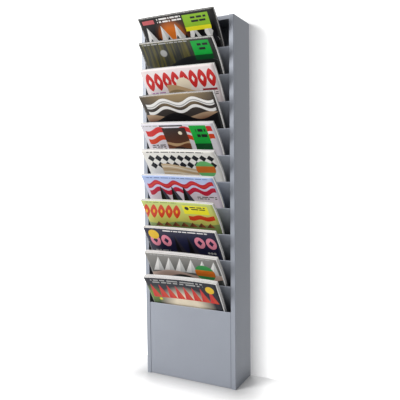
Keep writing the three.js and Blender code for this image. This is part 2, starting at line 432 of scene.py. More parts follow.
def slope_run(low, high, offset):
    """Length from the lip to the foot's fold, for a run that passes the lip's axis at an offset."""
    depth = high.y - SHEET / 2 - (low.y + lip_radius) - fold_middle * (1 - math.cos(slope))
    return (depth - offset * math.cos(slope)) / math.sin(slope)


def lip_axis(node):
    """Middle of the fold of a lip."""
    low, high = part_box(node)
    return Vector((low.x, low.y + lip_radius, high.z - lip_radius))


def pocket_plate(node):
    low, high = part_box(node)
    inward = Vector((0, math.cos(slope), math.sin(slope)))
    hem_end = lip_axis(node) + inward * hem_middle - lift * HEM_DEPTH
    folded_sheet(node, hem_end, lift, ACROSS, edged(high.x - low.x), [
        edged(HEM_DEPTH), (math.pi, hem_middle),
        edged(slope_run(low, high, -hem_middle)), (-slope, fold_middle),
        edged(PLATE_FOOT),
    ])


def kick_panel(node):
    """The panel goes behind the front returns. Its right seam gets a painted shade that stands for the gap's
    shadow, and the left one lies in real shadow.
    """
    low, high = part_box(node)
    seam_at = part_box("right_side")[1].x - FRONT_RETURN
    behind = high.x - seam_at
    start = (low.x, low.y + SHEET / 2, low.z)
    parts = [behind, SEAM_ZONE, high.x - low.x - 2 * (behind + SEAM_ZONE), SEAM_ZONE, behind]
    piece = folded_sheet(node, start, UP, ACROSS, parts, [
        edged(lip_axis(node).z - low.z), (slope - math.pi, hem_middle),
        edged(slope_run(low, high, hem_middle)), (-slope, fold_middle),
        edged(PLATE_FOOT),
    ])
    seam = piece.data.attributes.new("seam", "FLOAT", "POINT")
    for vert, mark in zip(piece.data.vertices, seam.data):
        mark.value = float(vert.co.x > seam_at - SEAM_ZONE / 2)


plate_nodes = sorted(name for name in frame["nodes"] if name.startswith("pocket_plate"))
for node in plate_nodes:
    pocket_plate(node)
kick_panel("kick_panel")
print("plates folded:", len(plate_nodes), "lean, degrees:", round(math.degrees(slope), 1))

# %% [markdown]
# ## Back panel
# A flat sheet closes the back, with two keyholes for wall screws. A hole can't be folded, so the outline of
# the sheet and of each keyhole is drawn as a closed loop of edges, and triangle_fill fills what lies between
# them. A boolean cut would work too, but leaves a rougher mesh. The sheet is flat and its punched edges are
# sharp, so it is shaded flat and loses its bevel, which would slide far along the fill's long triangles.

# %% Draw and fill the back panel
KEYHOLE_SPACING = 152 * MM
KEYHOLE_INSET = 50 * MM  # from the top of the rack to the seat of the screw
KEYHOLE_RISE = 11 * MM
KEYHOLE_HEAD = 10 * MM
KEYHOLE_SLOT = 5 * MM
KEYHOLE_STEPS = 24


def keyhole(bm, seat):
    """A slot with a round top, open at its foot into a larger round hole."""
    half = KEYHOLE_SLOT / 2
    mouth = math.asin(KEYHOLE_SLOT / KEYHOLE_HEAD)
    first = bm.verts.new(seat + ACROSS * half)
    arc = bmesh.ops.spin(bm, geom=[first], cent=seat, axis=-DEEP, angle=math.pi, steps=KEYHOLE_STEPS)
    left = only(bmesh.types.BMVert, arc["geom_last"])[0]
    down = bmesh.ops.extrude_vert_indiv(bm, verts=[left])["verts"][0]
    drop = KEYHOLE_RISE - math.cos(mouth) * KEYHOLE_HEAD / 2
    bmesh.ops.translate(bm, verts=[down], vec=-UP * drop)
    head = seat - UP * KEYHOLE_RISE
    turn = 2 * (math.pi - mouth)
    arc = bmesh.ops.spin(bm, geom=[down], cent=head, axis=-DEEP, angle=turn, steps=2 * KEYHOLE_STEPS)
    right = only(bmesh.types.BMVert, arc["geom_last"])[0]
    bm.edges.new((right, first))


panel_low, panel_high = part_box("back_panel")
panel_middle = (panel_low.y + panel_high.y) / 2
bm = bmesh.new()
corners = [
    bm.verts.new((x, panel_middle, z))
    for x, z in (
        (panel_low.x, panel_low.z), (panel_high.x, panel_low.z),
        (panel_high.x, panel_high.z), (panel_low.x, panel_high.z),
    )
]
for first, second in zip(corners, corners[1:] + corners[:1]):
    bm.edges.new((first, second))
for side in (-1, 1):
    keyhole(bm, Vector((side * KEYHOLE_SPACING / 2, panel_middle, panel_high.z - KEYHOLE_INSET)))
bmesh.ops.triangle_fill(bm, edges=bm.edges[:], use_beauty=True, normal=-DEEP)
back = steel_piece("back_panel", bm)
back.modifiers.remove(back.modifiers["cut_edges"])
back.data.polygons.foreach_set("use_smooth", [False] * len(back.data.polygons))
back.data.attributes["edge"].data.foreach_set("value", [0.0] * len(back.data.vertices))
print("back panel triangles:", len(back.data.polygons))

# %% [markdown]
# ## The magazines' shape
# A magazine is a soft stack of paper. Below the lip it lies flat in its pocket, and above the lip its free
# end droops forward in an arc. Thickness, place, length and droop are measured on the construction's own
# cover, in a frame whose Z runs up the magazine and whose origin is the lip. The paper also relaxes: the
# middle bows back from the lip, the head twists, because the stiff spine at the left holds it up better than
# the loose fore edge at the right, and the free corners curl a little. The same offset is given to the cover
# and to the pages, so they stay together.

# %% Measure each magazine and describe how its paper relaxes
BOW = 0.2  # how far a magazine's middle bows back, in thicknesses
CURL = (-1.6 * MM, 0.8 * MM)  # how far a free corner curls, forward or back
TWISTS = (0.5, 5.0, 2.0, 0.5, 4.3, 5.3, 5.7, 3.5, 2.8, 2.6, -1.0)  # of the heads, mm, from the top row down
NEARLY = 0.01 * MM
chance = random.Random(11)


def lip_node(row):
    name = f"pocket_plate_{row:02d}"
    return name if name in frame["nodes"] else "kick_panel"


def measure_magazine(row):
    """Reads a magazine's sizes from the construction's cover."""
    lip = lip_axis(lip_node(row))
    lip.x = 0
    matrix = Matrix.Translation(lip) @ Matrix.Rotation(slope, 4, "X")
    to_magazine = matrix.inverted()
    points = [to_magazine @ vert.co for vert in frame["nodes"][f"magazine_cover_{row:02d}"].data.vertices]
    flat = [point for point in points if point.z < NEARLY]
    front = min(point.y for point in flat)
    thickness = max(point.y for point in flat) - front
    head_back = max(points, key=lambda point: point.z)
    head_front = min(points, key=lambda point: point.y)
    droop = math.atan2(head_back.z - head_front.z, head_back.y - head_front.y)
    bend_radius = head_back.z / math.sin(droop) - thickness / 2
    return SimpleNamespace(
        row=row,
        matrix=matrix @ Matrix.Translation((0, front, 0)),
        left=min(point.x for point in points),
        right=max(point.x for point in points),
        thickness=thickness,
        hidden=-min(point.z for point in points),
        droop=droop,
        bend_radius=bend_radius,
        bend_middle=thickness / 2 - bend_radius,
        exposed=bend_radius * droop,
        bow=BOW * thickness,
        curls=(chance.uniform(*CURL), chance.uniform(*CURL)),
        twist=TWISTS[row - 1] * MM,
    )


def unbent(magazine, point):
    """Depth below the front cover and length above the lip, before the droop."""
    if point.z <= 0:
        return point.y, point.z
    reach = math.hypot(point.y - magazine.bend_middle, point.z)
    angle = math.atan2(point.z, point.y - magazine.bend_middle)
    return reach + magazine.bend_middle, angle * magazine.bend_radius


def relax(magazine, bm):
    """Moves the paper square to its surface: a bow across the middle, a twist and a curl at the head."""
    middle = (magazine.left + magazine.right) / 2
    half = (magazine.right - magazine.left) / 2
    for vert in bm.verts:
        length = unbent(magazine, vert.co)[1]
        across = (vert.co.x - middle) / half
        held = min(1.0, (length + magazine.hidden) / magazine.hidden)
        offset = magazine.bow * (1 - across ** 2) * held
        free = max(0.0, length / magazine.exposed)
        curl = magazine.curls[1] if across > 0 else magazine.curls[0]
        offset += (curl * abs(across) ** 3 - magazine.twist * across) * free ** 2
        angle = max(0.0, length) / magazine.bend_radius
        vert.co += Vector((0, math.cos(angle), math.sin(angle))) * offset


pocket_count = len(plate_nodes) + 1
magazines = [measure_magazine(row) for row in range(1, pocket_count + 1)]
for magazine in magazines:
    print(
        "magazine", magazine.row, "thickness mm", round(magazine.thickness / MM, 2),
        "shows mm", round(magazine.exposed / MM, 1), "droop", round(math.degrees(magazine.droop), 1),
    )

# %% [markdown]
# ## Printed shapes
# A cover's print is built from simple shapes on the page: boxes, discs, peaks, hills, fades, ribbons, beads,
# rows of dashes and streaks. Each shape is a node group that reads the page's own coordinates and puts out a
# mask. The coordinates count in page widths, from the spine to the right and from the head down, so that a
# disc stays round. All designs here are generic.

# %% Shape groups
FAR_AWAY = 9.0  # page widths, past every edge of a page
INKED_SHARE = 0.55  # of the height of a line of dashes
WORD_LEVEL = 0.42  # noise above this prints a dash
LINE_SHIFT = 7.3  # keeps the dashes of two lines from being alike
STREAK_LENGTH = 2.0
STREAK_RANGE = (0.4, 0.65)


def shape_group(name, **inputs):
    """Starts a group that reads the page's coordinates and puts out a mask."""
    sockets = {"Page": (0.0, 0.0, 0.0)}
    sockets.update({label.replace("_", " ").title(): (value,) for label, value in inputs.items()})
    group, given, made = new_group(name, sockets, {"Mask": (0.0,)})
    page = add_node(group, "ShaderNodeSeparateXYZ", {0: given["Page"]}).outputs
    return group, page["X"], page["Y"], given, made["Mask"]


def between(tree, value, low, high):
    """1 where a value lies between two others."""
    above = math_node(tree, "GREATER_THAN", value, low)
    return product(tree, above, math_node(tree, "LESS_THAN", value, high))


def in_frame(tree, across, down, given):
    """1 between the left and right edges and between the top and bottom edges of a shape."""
    columns = between(tree, across, given["Left"], given["Right"])
    return product(tree, columns, between(tree, down, given["Top"], given["Bottom"]))


def share_of(tree, value, low, high):
    """How far a value has come from low to high."""
    span = math_node(tree, "SUBTRACT", high, low)
    return math_node(tree, "DIVIDE", math_node(tree, "SUBTRACT", value, low), span)


def print_box():
    group, across, down, given, mask = shape_group("print_box", left=0.0, right=1.0, top=0.0, bottom=0.1)
    feed(group, mask, in_frame(group, across, down, given))
    return group


def print_disc():
    """Soft is the width of its rim, and only what lies between top and bottom is printed."""
    group, across, down, given, mask = shape_group(
        "print_disc", across=0.5, down=0.2, radius=0.1, squash=1.0, soft=0.004,
        top=-FAR_AWAY, bottom=FAR_AWAY,
    )
    aside = math_node(group, "SUBTRACT", across, given["Across"])
    below = product(group, math_node(group, "SUBTRACT", down, given["Down"]), given["Squash"])
    squares = math_node(group, "ADD", product(group, aside, aside), product(group, below, below))
    inside = math_node(group, "SUBTRACT", given["Radius"], math_node(group, "SQRT", squares))
    rim = math_node(group, "DIVIDE", inside, given["Soft"], clamp=True)
    feed(group, mask, product(group, rim, between(group, down, given["Top"], given["Bottom"])))
    return group


def print_peaks():
    """A row of triangles on a common foot. Flank 1 prints only their right halves."""
    group, across, down, given, mask = shape_group(
        "print_peaks", left=0.0, right=1.0, foot=0.3, height=0.2, count=5.0, lean=0.0, flank=0.0,
    )
    rise = math_node(group, "DIVIDE", math_node(group, "SUBTRACT", given["Foot"], down), given["Height"])
    sheared = math_node(group, "MULTIPLY_ADD", rise, given["Lean"], across)
    place = product(group, share_of(group, sheared, given["Left"], given["Right"]), given["Count"])
    ridge = math_node(group, "PINGPONG", product(group, place, 2.0), 1.0)
    under = math_node(group, "LESS_THAN", rise, ridge)
    inside = between(group, sheared, given["Left"], given["Right"])
    standing = math_node(group, "GREATER_THAN", rise, 0.0)
    half = product(group, given["Flank"], 0.5)
    chosen = math_node(group, "GREATER_THAN", math_node(group, "FRACT", place), half)
    feed(group, mask, product(group, under, inside, standing, chosen))
    return group


def wave_line(group, across, given):
    """Height of a wavy line across the page."""
    turns = math_node(group, "MULTIPLY_ADD", across, given["Count"], given["Phase"])
    wave = math_node(group, "SINE", product(group, turns, math.tau))
    return math_node(group, "MULTIPLY_ADD", wave, given["Swing"], given["Level"])


def print_hill():
    """Everything below a wavy line, coming in over a soft stretch."""
    group, across, down, given, mask = shape_group(
        "print_hill", level=0.5, swing=0.05, count=1.0, phase=0.0, soft=0.004,
    )
    below = math_node(group, "SUBTRACT", down, wave_line(group, across, given))
    feed(group, mask, math_node(group, "DIVIDE", below, given["Soft"], clamp=True))
    return group


def print_fade():
    """A column of the page that comes in slowly from its top to its bottom."""
    group, across, down, given, mask = shape_group("print_fade", left=0.0, right=1.0, top=0.0, bottom=0.5)
    columns = between(group, across, given["Left"], given["Right"])
    strength = share_of(group, down, given["Top"], given["Bottom"])
    feed(group, mask, math_node(group, "MULTIPLY", columns, strength, clamp=True))
    return group


def print_ribbon():
    """A wavy band between two edges of the page."""
    group, across, down, given, mask = shape_group(
        "print_ribbon", level=0.2, thickness=0.04, swing=0.03, count=2.0, phase=0.0, left=0.0, right=1.0,
    )
    away = math_node(group, "ABSOLUTE", math_node(group, "SUBTRACT", down, wave_line(group, across, given)))
    near = math_node(group, "LESS_THAN", product(group, away, 2.0), given["Thickness"])
    feed(group, mask, product(group, near, between(group, across, given["Left"], given["Right"])))
    return group


def print_beads():
    """Rows of equal shapes. Power 1 prints diamonds, 2 discs, and 6 rounded squares."""
    group, across, down, given, mask = shape_group(
        "print_beads", left=0.0, right=1.0, top=0.1, bottom=0.3, count=6.0, rows=1.0, size=0.9, power=2.0,
        lean=0.0,
    )
    sheared = math_node(group, "MULTIPLY_ADD", down, given["Lean"], across)
    columns = product(group, share_of(group, sheared, given["Left"], given["Right"]), given["Count"])
    lines = product(group, share_of(group, down, given["Top"], given["Bottom"]), given["Rows"])
    parts = []
    for place in (columns, lines):
        offset = math_node(group, "SUBTRACT", math_node(group, "FRACT", place), 0.5)
        reach = math_node(group, "ABSOLUTE", product(group, offset, 2.0))
        parts.append(math_node(group, "POWER", reach, given["Power"]))
    limit = math_node(group, "POWER", given["Size"], given["Power"])
    bead = math_node(group, "LESS_THAN", math_node(group, "ADD", *parts), limit)
    feed(group, mask, product(group, bead, in_frame(group, sheared, down, given)))
    return group


def print_dashes():
    """Lines of short plain dashes, as small print looks from far away."""
    group, across, down, given, mask = shape_group(
        "print_dashes", left=0.1, right=0.9, top=0.03, bottom=0.06, rows=2.0, dashes=40.0,
    )
    lines = product(group, share_of(group, down, given["Top"], given["Bottom"]), given["Rows"])
    inked = math_node(group, "LESS_THAN", math_node(group, "FRACT", lines), INKED_SHARE)
    vector = add_node(group, "ShaderNodeCombineXYZ", {
        "X": product(group, across, given["Dashes"]),
        "Y": product(group, math_node(group, "FLOOR", lines), LINE_SHIFT),
    }).outputs[0]
    words = math_node(group, "GREATER_THAN", noise(group, vector, 1.0, detail=0.0), WORD_LEVEL)
    feed(group, mask, product(group, inked, words, in_frame(group, across, down, given)))
    return group


def print_streaks():
    """Soft upright streaks of uneven strength."""
    group, across, down, given, mask = shape_group(
        "print_streaks", left=0.0, right=1.0, top=0.0, bottom=0.5, streaks=30.0,
    )
    vector = add_node(group, "ShaderNodeCombineXYZ", {
        "X": product(group, across, given["Streaks"]), "Y": product(group, down, STREAK_LENGTH),
    }).outputs[0]
    strength = spread(group, noise(group, vector, 1.0, detail=1.0), *STREAK_RANGE, 0.0, 1.0)
    feed(group, mask, product(group, strength, in_frame(group, across, down, given)))
    return group


SHAPES = {
    "box": print_box(), "disc": print_disc(), "peaks": print_peaks(), "hill": print_hill(),
    "fade": print_fade(), "ribbon": print_ribbon(), "beads": print_beads(), "dashes": print_dashes(),
    "streaks": print_streaks(),
}
print("shape groups:", ", ".join(SHAPES))

# %% [markdown]
# ## Eleven cover designs
# The covers keep the colours and the scale of a news stand: black, grey, white, pale blue, green and navy
# grounds, a bold band of shapes below the head, a picture in the middle and now and then a bright sticker.
# Each design is a ground colour and a list of printed layers, from the back to the front. The pictures are
# simple landscapes, so each looks different and none shows lettering.

# %% Colours and layers of each cover
BLACK, INK, NAVY = srgb(14, 13, 15), srgb(26, 26, 30), srgb(30, 31, 58)
WHITE, CREAM, LILAC = srgb(240, 238, 235), srgb(238, 224, 198), srgb(222, 218, 226)
RED, CRIMSON, SCARLET, PINK = srgb(204, 44, 44), srgb(190, 34, 66), srgb(208, 66, 34), srgb(226, 138, 158)
LIME, GREEN, DARK_GREEN = srgb(142, 190, 48), srgb(22, 168, 62), srgb(12, 74, 36)
YELLOW, GOLD, ORANGE = srgb(238, 230, 44), srgb(232, 190, 44), srgb(218, 116, 40)
BEIGE, SAND, TAN, BROWN = srgb(216, 190, 152), srgb(196, 162, 122), srgb(150, 128, 92), srgb(112, 68, 46)
SLATE, PALE_GREY, SILVER = srgb(66, 67, 68), srgb(168, 168, 166), srgb(206, 206, 204)


def sticker(left, top, width, height, color, band):
    """A price sticker: a coloured label with a band along its foot and two lines of dashes."""
    foot = top + height
    return [
        ("box", color, dict(left=left, right=left + width, top=top, bottom=foot)),
        ("box", band, dict(left=left, right=left + width, top=foot - 0.25 * height, bottom=foot)),
        ("dashes", INK, dict(left=left + 0.3 * width, right=left + 0.9 * width, top=top + 0.15 * height,
                             bottom=top + 0.6 * height, dashes=26.0)),
    ]


def round_sticker(across, down, radius, color, band):
    """A round sticker with a wide band across its middle."""
    return [
        ("disc", color, dict(across=across, down=down, radius=radius)),
        ("disc", band, dict(across=across, down=down, radius=radius,
                            top=down - 0.35 * radius, bottom=down + 0.4 * radius)),
    ]


def lit_peaks(lit, shaded, **sizes):
    """A row of peaks whose right flanks lie in the shade."""
    return [("peaks", lit, sizes), ("peaks", shaded, dict(sizes, flank=1.0))]


def soft_hill(crest, foot, soft, **sizes):
    """A hill that changes its colour over a soft stretch below its crest."""
    return [("hill", crest, sizes), ("hill", foot, dict(sizes, soft=soft))]


def ribbons(*bands, **sizes):
    """Wavy bands that run side by side. A band is a colour, its level and its thickness."""
    return [("ribbon", color, dict(sizes, level=level, thickness=wide)) for color, level, wide in bands]


def eyelets(*beads, **sizes):
    """Rows of beads on top of each other. A row is a colour, the size of its beads and their power."""
    return [("beads", color, dict(sizes, size=size, power=power)) for color, size, power in beads]


PINK_RINGS = (PINK, 0.88, 2.0), (NAVY, 0.44, 1.0)
COVERS = {
    1: (BLACK, [
        ("disc", BROWN, dict(across=0.40, down=0.26, radius=0.25, soft=0.13)),
        ("disc", ORANGE, dict(across=0.38, down=0.25, radius=0.19, soft=0.10)),
        *lit_peaks(WHITE, SILVER, left=0.03, right=0.98, foot=0.38, height=0.26, count=5.0, lean=0.05),
        ("peaks", INK, dict(left=0.03, right=0.98, foot=0.39, height=0.13, count=8.0)),
        ("hill", BLACK, dict(level=0.60, swing=0.04, count=1.5)),
        ("box", srgb(196, 92, 96), dict(left=0.04, right=0.20, top=0.035, bottom=0.085)),
        ("dashes", WHITE, dict(left=0.24, right=0.56, top=0.03, bottom=0.10, rows=2.0)),
        *sticker(0.58, 0.035, 0.33, 0.2, LIME, YELLOW),
    ]),
    2: (srgb(48, 50, 48), [
        ("streaks", srgb(96, 90, 48), dict(right=0.70, bottom=0.6)),
        ("disc", PALE_GREY, dict(across=0.30, down=0.15, radius=0.05, soft=0.012)),
        *soft_hill(srgb(74, 76, 76), srgb(36, 38, 40), 0.16, level=0.29, swing=0.06, count=1.1, phase=0.95),
        ("hill", srgb(30, 32, 34), dict(level=0.31, swing=0.09, count=0.8, phase=0.22)),
        ("hill", BLACK, dict(level=0.37, swing=0.04, count=1.6, phase=0.1)),
        ("dashes", PALE_GREY, dict(left=0.04, right=0.66, top=0.018, bottom=0.04, rows=1.0)),
        *sticker(0.70, 0.03, 0.23, 0.25, GREEN, DARK_GREEN),
    ]),
    3: (srgb(240, 228, 228), [
        *eyelets(
            (RED, 0.98, 1.5), (WHITE, 0.34, 1.0),
            left=0.03, right=0.97, top=0.05, bottom=0.29, count=8.0,
        ),
        ("disc", CREAM, dict(across=0.53, down=0.24, radius=0.10)),
        *ribbons((SAND, 0.53, 0.50), swing=0.06, count=1.1, phase=0.40, left=0.30, right=0.72),
        ("fade", BEIGE, dict(left=0.30, right=0.72, top=0.27, bottom=0.40)),
        *ribbons((TAN, 0.62, 0.56), swing=0.05, count=1.6, phase=0.1, left=0.30, right=0.72),
        ("box", srgb(150, 50, 60), dict(left=0.76, right=0.95, top=0.305, bottom=0.335)),
        ("dashes", srgb(170, 110, 172), dict(left=0.05, right=0.26, top=0.31, bottom=0.38, rows=3.0)),
        ("dashes", SLATE, dict(left=0.76, right=0.95, top=0.355, bottom=0.40, rows=2.0)),
    ]),
    4: (srgb(58, 52, 48), [
        ("disc", TAN, dict(across=0.5, down=0.02, radius=0.55, soft=0.45, squash=2.6)),
        *ribbons(
            (WHITE, 0.12, 0.065), (PALE_GREY, 0.132, 0.016), (WHITE, 0.215, 0.04),
            swing=0.035, count=2.5, left=0.05, right=0.96,
        ),
        *soft_hill(srgb(184, 156, 126), BROWN, 0.10, level=0.305, swing=0.04, count=1.2, phase=0.7),
        ("hill", BLACK, dict(level=0.31, swing=0.05, count=1.5, phase=0.15)),
        ("hill", srgb(44, 38, 36), dict(level=0.56, swing=0.05, count=1.1)),
    ]),
    5: (LILAC, [
        *ribbons((RED, 0.12, 0.08), (SCARLET, 0.235, 0.07), swing=0.03, count=3.0, left=0.04, right=0.95),
        ("box", srgb(40, 36, 36), dict(left=0.28, right=0.60, top=0.07, bottom=0.48)),
        ("fade", BROWN, dict(left=0.28, right=0.60, top=0.07, bottom=0.45)),
        ("disc", CREAM, dict(across=0.51, down=0.15, radius=0.028)),
        *ribbons((SAND, 0.39, 0.22), swing=0.02, count=2.2, phase=0.3, left=0.28, right=0.60),
        *ribbons((BROWN, 0.42, 0.20), swing=0.02, count=3.1, left=0.28, right=0.60),
        *ribbons((srgb(52, 40, 36), 0.46, 0.20), swing=0.015, count=4.0, left=0.28, right=0.60),
        ("box", SLATE, dict(left=0.26, right=0.58, top=0.028, bottom=0.05)),
        ("dashes", PALE_GREY, dict(left=0.03, right=0.24, top=0.03, bottom=0.05, rows=1.0)),
        ("dashes", SLATE, dict(left=0.05, right=0.25, top=0.31, bottom=0.39, rows=3.0)),
        ("hill", srgb(190, 180, 190), dict(level=0.66, swing=0.04, count=1.3)),
        *sticker(0.66, 0.04, 0.22, 0.36, GREEN, DARK_GREEN),
    ]),
    6: (srgb(236, 233, 226), [
        *eyelets((INK, 0.98, 1.0), left=0.05, right=0.96, top=0.07, bottom=0.29, count=9.0, rows=2.0),
        *ribbons((BEIGE, 0.48, 0.44), swing=0.05, count=0.9, phase=0.55, left=0.20, right=0.68),
        *(
            ("ribbon", color, dict(level=0.30 + 0.035 * step, thickness=0.018, swing=0.05 - 0.008 * step,
                                   count=0.9, phase=0.55, left=0.20, right=0.68))
            for step, color in enumerate((CREAM, SAND, CREAM, TAN))
        ),
        ("hill", srgb(222, 214, 198), dict(level=0.64, swing=0.04, count=1.1)),
        ("dashes", INK, dict(left=0.06, right=0.85, top=0.02, bottom=0.045, rows=1.0)),
        *round_sticker(0.79, 0.30, 0.13, srgb(112, 190, 112), ORANGE),
    ]),
    7: (srgb(176, 194, 234), [
        ("fade", srgb(226, 214, 232), dict(top=0.04, bottom=0.30)),
        *ribbons(
            (CRIMSON, 0.135, 0.07), (SCARLET, 0.135, 0.018), (CRIMSON, 0.24, 0.07),
            swing=0.03, count=4.0, left=0.04, right=0.96,
        ),
        *lit_peaks(
            BLACK, srgb(66, 66, 84),
            left=0.16, right=0.64, foot=0.42, height=0.26, count=3.0, lean=0.03,
        ),
        ("hill", srgb(160, 172, 208), dict(level=0.60, swing=0.05, count=1.2)),
        ("dashes", srgb(96, 118, 170), dict(left=0.05, right=0.92, top=0.03, bottom=0.052, rows=1.0)),
        ("dashes", SLATE, dict(left=0.68, right=0.94, top=0.32, bottom=0.37, rows=2.0)),
    ]),
    8: (srgb(192, 206, 122), [
        ("fade", srgb(212, 208, 104), dict(top=0.0, bottom=0.28)),
        *eyelets(
            (SCARLET, 0.97, 1.4), (GOLD, 0.28, 1.4),
            left=0.02, right=0.56, top=0.05, bottom=0.28, count=5.0, lean=0.3,
        ),
        *soft_hill(srgb(150, 172, 100), srgb(104, 120, 66), 0.14, level=0.34, swing=0.02, count=1.6),
        *lit_peaks(BROWN, srgb(150, 84, 52), left=0.08, right=0.92, foot=0.40, height=0.07, count=7.0),
        *ribbons((SCARLET, 0.25, 0.07), swing=0.012, count=5.0, left=0.60, right=0.95),
        ("dashes", srgb(110, 128, 60), dict(left=0.05, right=0.5, top=0.015, bottom=0.035, rows=1.0)),
        *sticker(0.56, 0.05, 0.34, 0.14, YELLOW, YELLOW),
        ("disc", INK, dict(across=0.615, down=0.10, radius=0.03)),
    ]),
    9: (NAVY, [
        *eyelets(*PINK_RINGS, left=0.04, right=0.35, top=0.09, bottom=0.30, count=2.0),
        *eyelets(*PINK_RINGS, left=0.66, right=0.97, top=0.09, bottom=0.30, count=2.0),
        *lit_peaks(
            BLACK, srgb(46, 42, 52),
            left=0.36, right=0.72, foot=0.46, height=0.36, count=2.0, lean=0.04,
        ),
        ("disc", GOLD, dict(across=0.12, down=0.10, radius=0.075)),
        ("hill", srgb(26, 27, 50), dict(level=0.58, swing=0.06, count=1.2)),
        ("dashes", WHITE, dict(left=0.26, right=0.88, top=0.025, bottom=0.055, rows=1.0)),
        ("dashes", PALE_GREY, dict(left=0.06, right=0.28, top=0.35, bottom=0.375, rows=1.0)),
        *eyelets((PALE_GREY, 0.85, 2.0), left=0.80, right=0.92, top=0.335, bottom=0.375, count=3.0),
    ]),
    10: (srgb(136, 134, 130), [
        ("fade", srgb(98, 99, 97), dict(top=0.02, bottom=0.40)),
        *lit_peaks(WHITE, SILVER, left=0.04, right=0.96, foot=0.29, height=0.24, count=6.0, lean=-0.06),
        *soft_hill(
            srgb(216, 190, 176), srgb(192, 156, 138), 0.12,
            level=0.30, swing=0.03, count=1.3, phase=0.35,
        ),
        ("hill", srgb(58, 60, 58), dict(level=0.37, swing=0.04, count=1.5, phase=0.1)),
        ("hill", srgb(74, 76, 74), dict(level=0.60, swing=0.05, count=1.3)),
        ("dashes", PALE_GREY, dict(left=0.06, right=0.9, top=0.02, bottom=0.042, rows=1.0)),
        *round_sticker(0.77, 0.27, 0.135, srgb(64, 152, 82), ORANGE),
    ]),
    11: (srgb(24, 26, 38), [
        ("disc", srgb(104, 136, 50), dict(across=0.04, down=0.30, radius=0.18, soft=0.14)),
        ("disc", CREAM, dict(across=0.5, down=0.42, radius=0.40, soft=0.24, squash=1.3)),
        ("peaks", RED, dict(left=0.04, right=0.96, foot=0.34, height=0.23, count=8.0, lean=0.04)),
        ("peaks", SCARLET, dict(left=0.04, right=0.96, foot=0.34, height=0.15, count=8.0, lean=0.04,
                                flank=1.0)),
        ("disc", GOLD, dict(across=0.88, down=0.12, radius=0.06)),
        ("disc", YELLOW, dict(across=0.13, down=0.37, radius=0.03, soft=0.02)),
        ("dashes", PALE_GREY, dict(left=0.08, right=0.8, top=0.03, bottom=0.10, rows=2.0, dashes=22.0)),
        ("hill", srgb(22, 23, 32), dict(level=0.60, swing=0.05, count=1.4)),
    ]),
}
print("covers designed:", len(COVERS))

# %% [markdown]
# ## Cover stock
# The print lies on coated stock: a smooth sheet with a soft gloss, a faint cloudiness, and rubbed whitish
# edges where hands take hold of it. The rub is a shader group, because all the covers share it.

# %% The cover stock group and the cover materials
PAGE_WIDTH = magazines[0].right - magazines[0].left
RUB_REACH = 0.012  # in page widths
RUB_STRENGTH = 0.6
RUB_ROUGHNESS = 0.3
FIBRE_SCALE = 90.0
RUBBED_FIBRES = (0.4, 0.65)
STOCK_CLOUDS = 5.0
STOCK_TONE = (0.95, 1.05)
STOCK_ROUGHNESS = (0.30, 0.38)
STOCK_SPECULAR = 0.3
STOCK_BUMP = 0.3
STOCK_WAVE = 0.3 * MM
STOCK_WHITE = srgb(232, 228, 220)

stock_group, given, made = new_group(
    "cover_stock",
    {"Page": (0.0, 0.0, 0.0), "Color": (0.5, 0.5, 0.5, 1.0), "Rub": (0.5,)},
    {"Color": (0.5, 0.5, 0.5, 1.0), "Roughness": (0.4,), "Height": (0.0,)},
)
page = add_node(stock_group, "ShaderNodeSeparateXYZ", {0: given["Page"]}).outputs
to_fore_edge = math_node(stock_group, "SUBTRACT", 1.0, page["X"])
to_spine = math_node(stock_group, "ABSOLUTE", page["X"])
to_side = math_node(stock_group, "MINIMUM", to_fore_edge, to_spine)
near = math_node(stock_group, "MINIMUM", page["Y"], to_side)
fibres = noise(stock_group, given["Page"], FIBRE_SCALE, detail=4.0)
clouds = noise(stock_group, given["Page"], STOCK_CLOUDS)
edge_zone = spread(stock_group, near, 0.0, RUB_REACH, 1.0, 0.0)
rub = product(stock_group, given["Rub"], edge_zone, spread(stock_group, fibres, *RUBBED_FIBRES, 0.0, 1.0))
rubbed = mix_color(stock_group, rub, given["Color"], STOCK_WHITE)
tone = sway(stock_group, clouds, *STOCK_TONE)
toned = add_node(stock_group, "ShaderNodeVectorMath", {0: rubbed, "Scale": tone}, operation="SCALE")
gloss = sway(stock_group, clouds, *STOCK_ROUGHNESS)
feed(stock_group, made["Color"], toned.outputs[0])
feed(stock_group, made["Roughness"], math_node(stock_group, "MULTIPLY_ADD", rub, RUB_ROUGHNESS, gloss))
feed(stock_group, made["Height"], clouds)


def cover_material(row):
    """Prints a cover's layers over its ground and coats the sheet."""
    ground, layers = COVERS[row]
    material, tree, shader = new_material(f"printed_cover_{row:02d}")
    page = add_node(tree, "ShaderNodeUVMap", uv_map="page").outputs[0]
    color = ground
    for shape, ink, sizes in layers:
        named = {label.title(): value for label, value in sizes.items()}
        mask = use_group(tree, SHAPES[shape], Page=page, **named)["Mask"]
        color = mix_color(tree, mask, color, ink)
    stock = use_group(tree, stock_group, Page=page, Color=color, Rub=RUB_STRENGTH)
    bump = add_node(tree, "ShaderNodeBump", {
        "Height": stock["Height"], "Strength": STOCK_BUMP, "Distance": STOCK_WAVE,
    })
    feed(tree, shader["Base Color"], stock["Color"])
    feed(tree, shader["Roughness"], stock["Roughness"])
    feed(tree, shader["Normal"], bump.outputs[0])
    shader["Specular IOR Level"].default_value = STOCK_SPECULAR
    return material


cover_materials = {row: cover_material(row) for row in COVERS}
print("cover materials:", len(cover_materials))

# %% [markdown]
# ## Covers
# A cover is one sheet wrapped round the pages: front, spine and back. Its section is traced like a folded
# steel sheet, then spun twice: once straight up through the pocket with no turn, and once round the axis of
# the droop. The page coordinates are written from the section, so that the print follows the bent sheet.

